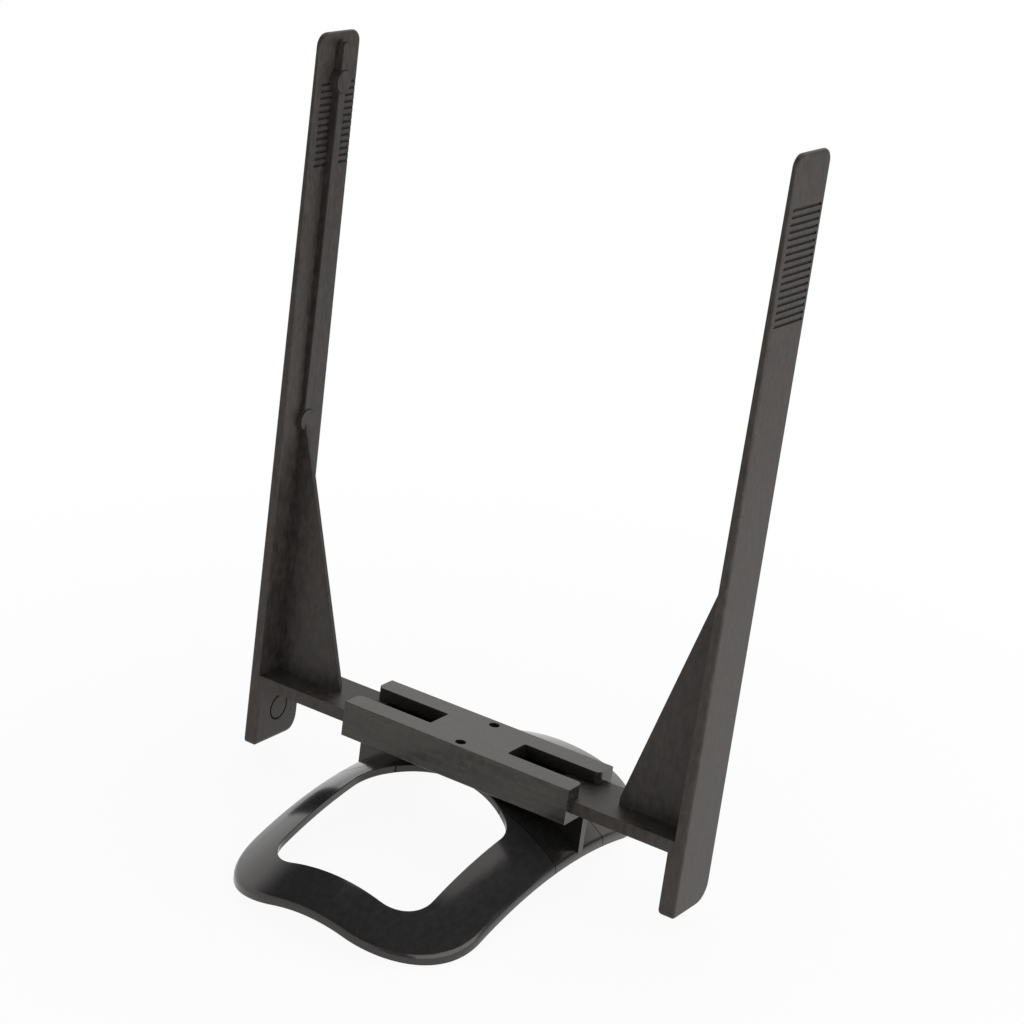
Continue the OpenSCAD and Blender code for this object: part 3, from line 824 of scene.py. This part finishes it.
def post_and_arm(arm):
    """The heel, post and full-width arm in one closed mesh, outer face at x = 0, arm towards +X."""
    bm = blank()
    shelf, half = arm.heel_h + arm.arm_t, arm.width / 2
    shape = Outline(bm, 0.0, 0.0)
    shape.line(arm.heel_t, 0.0).line(arm.heel_t, arm.heel_h)
    shape.line(arm.arm_length, arm.heel_h).line(arm.arm_length, shelf)
    shape.line(arm.low_t, shelf).line(arm.top_t, arm.height).line(0.0, arm.height)
    shape.close().fill()
    upright(raise_faces(bm, -half, half))

    def sharp_edges(test, outward=False):
        """Sharp edges whose two ends both pass the test."""
        return [e for e in edges_where(bm, test) if sharp(e) and (e.is_convex or not outward)]

    def at_corner(y, z):
        return lambda co: near(co.y, y) and near(co.z, z)

    def on_inner_face(co):
        return co.z > shelf - TOUCH and near(co.x, post_thickness(arm, co.z), 20 * TOUCH)

    for y, z, radius, segments in (
        (half, arm.height, arm.top_r, 8),
        (-half, arm.height, arm.top_r, 8),
        (half, 0.0, arm.heel_rear_r, 10),
        (-half, 0.0, arm.heel_front_r, 4),
    ):
        bevel(bm, edges_where(bm, at_corner(y, z)), radius, segments)
    bevel(bm, sharp_edges(lambda co: near(co.x, 0.0)), arm.edge_r, segments=4)
    bevel(bm, sharp_edges(on_inner_face, outward=True), arm.inner_r, segments=4)
    heel_rims = sharp_edges(lambda co: near(co.x, arm.heel_t) and co.y < 0)
    heel_front = [e for e in heel_rims if e.verts[0].co.y == e.verts[1].co.y]
    bevel(bm, heel_front, arm.heel_front_r, segments=4)
    others = sharp_edges(lambda co: co.x > arm.heel_t * 1.01, outward=True)
    # Paints wear and a pale highlight on the other rounded edges
    mark(bm, "worn", bevel(bm, others, arm.small_r), WEAR_HIGHLIGHT_ARM)
    return cut_away(bm, toe_tool(arm))


def toe_tool(arm):
    """What is cut away to round the heel's inner bottom edge."""
    bm = blank()
    radius, reach = arm.heel_inner_r, arm.width / 2 + OVER
    shape = Outline(bm, arm.heel_t - radius, 0.0)
    shape.arc(arm.heel_t - radius, radius, 90, steps=8)
    shape.line(arm.heel_t + OVER, radius).line(arm.heel_t + OVER, -OVER).line(arm.heel_t - radius, -OVER)
    shape.close().fill()
    return upright(raise_faces(bm, -reach, reach))


def gusset(arm):
    """The thin gusset between arm and post."""
    bm = blank()
    shelf, inside = arm.heel_h + arm.arm_t, arm.top_t / 2
    gusset_top = shelf + arm.gusset_h
    root = shelf - OVER
    shape = Outline(bm, inside, root)
    shape.line(arm.gusset_reach, root).line(arm.gusset_reach, shelf + arm.gusset_nose)
    shape.line(arm.rib_reach, gusset_top).line(inside, gusset_top)
    shape.close().fill()
    upright(raise_faces(bm, -arm.gusset_t / 2, arm.gusset_t / 2))
    rims = [e for e in bm.edges if sharp(e)]
    # Paints shade on the gusset's rounded rims
    mark(bm, "recess", bevel(bm, rims, arm.small_r * 0.6), SHADE_GUSSET)
    return bm


def rib(arm):
    """The rib with its round end, and two round pads that stand proud of it."""
    bm = blank()
    pad_r, half = arm.pad_d / 2, arm.rib_w / 2
    low = arm.heel_h + arm.arm_t + arm.gusset_h
    high = arm.height - arm.pad_drop
    end = arm.height - arm.rib_margin - half
    lift = math.sqrt(pad_r ** 2 - half ** 2)
    turn = math.degrees(math.asin(lift / pad_r))
    shape = Outline(bm, 0.0, low - pad_r)
    shape.arc(0.0, low, 90 + turn, steps=18)
    shape.line(half, high - lift)
    shape.arc(0.0, high, 2 * turn, steps=16)
    shape.line(half, end)
    shape.arc(0.0, end, 90, steps=8)
    shape.mirrored("X")
    shape.fill()
    raise_faces(bm, arm.top_t / 2, arm.rib_reach)
    crest = edges_where(bm, lambda co: near(co.z, arm.rib_reach))
    # Paints shade on the rib's rounded crest edges
    mark(bm, "recess", bevel(bm, crest, arm.small_r * 1.5, segments=4), SHADE_GROOVE)
    bottom, top = arm.rib_reach - arm.pad_lift, arm.rib_reach + arm.pad_lift
    for height in (low, high):
        pad = raise_faces(disc(0.0, height, pad_r - arm.small_r, segments=48), bottom, top)
        # Paints shade on the pads' sides and rims
        mark(pad, "recess", [f for f in pad.faces if abs(f.normal.z) < 0.5], SHADE_SLOT)
        rim = edges_where(pad, lambda co: near(co.z, top))
        mark(pad, "recess", bevel(pad, rim, arm.pad_lift * 0.7, segments=3), SHADE_PAD_RIM)
        add_mesh(bm, pad)
    return sideways(bm)


def groove_tools(arm, groove):
    """One bar for each groove: the outer face's end inside a border, the inner face's run out at the rear."""
    bm = blank()
    first = arm.height - groove.drop
    half, half_groove = arm.width / 2, groove.width / 2
    for i in range(groove.outer_count):
        z = first - i * groove.pitch
        low = (-OVER, groove.outer_border - half, z - half_groove)
        add_mesh(bm, block(low, (groove.depth, half - groove.outer_border, z + half_groove)))
    for i in range(groove.inner_count):
        z = first - i * groove.pitch
        face = post_thickness(arm, z)
        low = (face - groove.depth, groove.inner_border - half, z - half_groove)
        add_mesh(bm, block(low, (face + OVER, half + OVER, z + half_groove)))
    # Paints shade in the grooves
    mark(bm, "recess", bm.faces, SHADE_GROOVE)
    return bm


def ring_tool(arm):
    """A thin tube that leaves the shallow ring on the heel's inner face."""
    bm = blank()
    middle, half = arm.ring_d / 2, arm.ring_w / 2
    bmesh.ops.create_circle(bm, cap_ends=False, radius=middle - half, segments=64)
    grown = bmesh.ops.extrude_edge_only(bm, edges=bm.edges[:])["geom"]
    outer = [g for g in grown if isinstance(g, bmesh.types.BMVert)]
    share = (middle + half) / (middle - half)
    bmesh.ops.scale(bm, vec=(share, share, 1), verts=outer)
    raise_faces(bm, arm.heel_t - arm.ring_depth, arm.heel_t + OVER)
    bmesh.ops.translate(bm, verts=bm.verts, vec=(0, arm.heel_h - arm.ring_drop, 0))
    # Paints shade in the ring
    mark(bm, "recess", bm.faces)
    return sideways(bm)


def arm_tongue(arm, side):
    """The tongue at the arm's inner end, in the rear half of the channel for the right arm."""
    gap, half = arm.tongue_gap / 2, arm.width / 2
    front, rear = (gap, half) if side > 0 else (-half, -gap)
    root, tip = arm.arm_length - 2 * MM, arm.arm_length + arm.tongue_length
    low = (root, front, arm.heel_h + BURIED)
    bm = block(low, (tip, rear, arm.heel_h + arm.arm_t - BURIED))
    bevel(bm, bm.edges[:], arm.small_r)
    return bm


class StandArms(bpy.types.Operator):
    """Builds the two posts with their arms, gussets, ribs and grooves"""

    bl_idname = "stand.arms"
    bl_label = "Arms"

    def execute(self, context):
        scene = context.scene
        arm, groove, rail, plastic = scene.stand_arm, scene.stand_groove, scene.stand_rail, scene.stand_plastic
        channel_z = scene.stand_foot.arch_along_r - rail.sink + rail.floor_plate
        heel_z = channel_z + arm.slide_gap - arm.heel_h
        for side, name, body in ((-1, "left_arm", "left_slider"), (1, "right_arm", "right_slider")):
            bm = cut_away(post_and_arm(arm), groove_tools(arm, groove))
            bm = cut_away(bm, ring_tool(arm))
            for part in (gusset(arm), rib(arm), arm_tongue(arm, side)):
                add_mesh(bm, part)
            if side > 0:
                bmesh.ops.scale(bm, vec=(-1, 1, 1), verts=bm.verts)
                bmesh.ops.reverse_faces(bm, faces=bm.faces)
            bmesh.ops.translate(bm, verts=bm.verts, vec=(side * arm.reach, 0.0, heel_z))
            finish = moulded_plastic(
                f"{name} plastic", plastic, plastic.arms, plastic.arm_roughness, ALONG_POST, plastic.arm_texture,
                MATT_IOR,
            )
            piece = finish_mesh(stood(bm, scene.stand_pose), f"{name}_moulding", finish)
            dress(piece, name, body)
        return {"FINISHED"}


# ---------------------------------------------------------------- the stage


class StandStage(bpy.types.Operator):
    """Builds the floor, the lights, the world and the camera"""

    bl_idname = "stand.stage"
    bl_label = "White studio"

    def execute(self, context):
        scene = context.scene
        self.floor(scene)
        self.world(scene)
        for softbox in SOFTBOXES:
            self.lamp(scene, **softbox)
        self.camera(scene)
        scene.view_settings.view_transform = "Standard"
        return {"FINISHED"}

    @staticmethod
    def floor(scene):
        """A wide pale floor that keeps a faint shadow near the stand and is plain white further off."""
        bm = bmesh.new()
        bmesh.ops.create_grid(bm, x_segments=1, y_segments=1, size=FLOOR_HALF)
        mesh = bpy.data.meshes.new("floor")
        bm.to_mesh(mesh)
        bm.free()
        piece = bpy.data.objects.new("floor", mesh)
        scene.collection.objects.link(piece)
        material = bpy.data.materials.new("white floor")
        graph = Graph(material)
        matt = graph.node("ShaderNodeBsdfDiffuse", {}, {"Color": PALE_GREY})
        glow = graph.node("ShaderNodeEmission", {}, {"Color": WHITE, "Strength": 1.0})
        place = graph.node("ShaderNodeTexCoord", output=3)
        away = graph.node("ShaderNodeVectorMath", {"operation": "LENGTH"}, {0: place}, output=1)
        whiteness = graph.ramp(away, (0.12, 0.93), (0.40, 1.0))
        fading = graph.ramp(away, (0.42, 1.0), (0.60, 0.05))
        to_eye, in_gloss = graph.seen_rays()
        shown = graph.mix_shader(to_eye.maximum(in_gloss * fading) * whiteness, matt, glow)
        graph.node("ShaderNodeOutputMaterial", {}, {"Surface": shown})
        mesh.materials.append(material)

    @staticmethod
    def world(scene):
        """White to the eye and low in a gloss, dim in a gloss from above or the right, and softly lit of its own."""
        world = bpy.data.worlds.new("studio")
        scene.world = world
        graph = Graph(world)
        white, dim, lighting = (
            graph.node("ShaderNodeBackground", {}, {"Color": WHITE, "Strength": strength})
            for strength in (1.0, 0.05, 0.45)
        )
        way = graph.node("ShaderNodeTexCoord")
        rightward, height = (graph.node("ShaderNodeSeparateXYZ", {}, {0: way}, output=axis) for axis in (0, 2))
        overhead = graph.ramp(height, (0.41, 0.0), (0.60, 1.0))
        aside = graph.ramp(rightward, (0.25, 0.0), (0.50, 0.8))
        to_eye, in_gloss = graph.seen_rays()
        room = graph.mix_shader(in_gloss, lighting, dim)
        shown = graph.mix_shader(to_eye.maximum(in_gloss * (1 - overhead.maximum(aside))), room, white)
        graph.node("ShaderNodeOutputWorld", {}, {"Surface": shown})

    @staticmethod
    def lamp(scene, name, place, target, size, power):
        """A square softbox that faces a target."""
        light = bpy.data.lights.new(name, "AREA")
        light.shape = "SQUARE"
        light.size = size
        light.energy = power
        lamp = bpy.data.objects.new(name, light)
        scene.collection.objects.link(lamp)
        lamp.location = place
        lamp.rotation_euler = (Vector(target) - Vector(place)).to_track_quat("-Z", "Y").to_euler()

    @staticmethod
    def camera(scene):
        """A long lens that looks down at the stand, a little rolled."""
        data = bpy.data.cameras.new("camera")
        camera = bpy.data.objects.new("camera", data)
        scene.collection.objects.link(camera)
        data.sensor_width = SENSOR_WIDTH
        data.lens = FOCAL_LENGTH
        data.clip_end = FARTHEST
        turn = (
            Matrix.Rotation(math.radians(AZIMUTH), 4, "Z")
            @ Matrix.Rotation(math.radians(90 - ELEVATION), 4, "X")
            @ Matrix.Rotation(math.radians(ROLL), 4, "Z")
        )
        camera.matrix_world = Matrix.Translation(CAMERA_PLACE) @ turn
        scene.camera = camera


# ---------------------------------------------------------------- add-on


class StandPanel(bpy.types.Panel):
    """Lists the stand's pieces and their sizes"""

    bl_idname = "VIEW3D_PT_stand"
    bl_label = "Display stand"
    bl_space_type = "VIEW_3D"
    bl_region_type = "UI"
    bl_category = "Stand"

    def draw(self, context):
        for operator in OPERATORS:
            self.layout.operator(operator.bl_idname)
        for key, group in GROUPS.items():
            column = self.layout.column(align=True)
            column.label(text=group.__doc__)
            for name in group.__annotations__:
                column.prop(getattr(context.scene, key), name)


OPERATORS = (StandLoops, StandBlock, StandArms, StandStage)
CLASSES = (*GROUPS.values(), *OPERATORS, StandPanel)


def register():
    for cls in CLASSES:
        bpy.utils.register_class(cls)
    for key, group in GROUPS.items():
        setattr(bpy.types.Scene, key, bpy.props.PointerProperty(type=group))


def unregister():
    for key in GROUPS:
        delattr(bpy.types.Scene, key)
    for cls in reversed(CLASSES):
        bpy.utils.unregister_class(cls)


def main():
    register()
    bpy.ops.stand.loops()
    bpy.ops.stand.block()
    bpy.ops.stand.arms()
    bpy.ops.stand.stage()


if __name__ == "__main__":
    main()
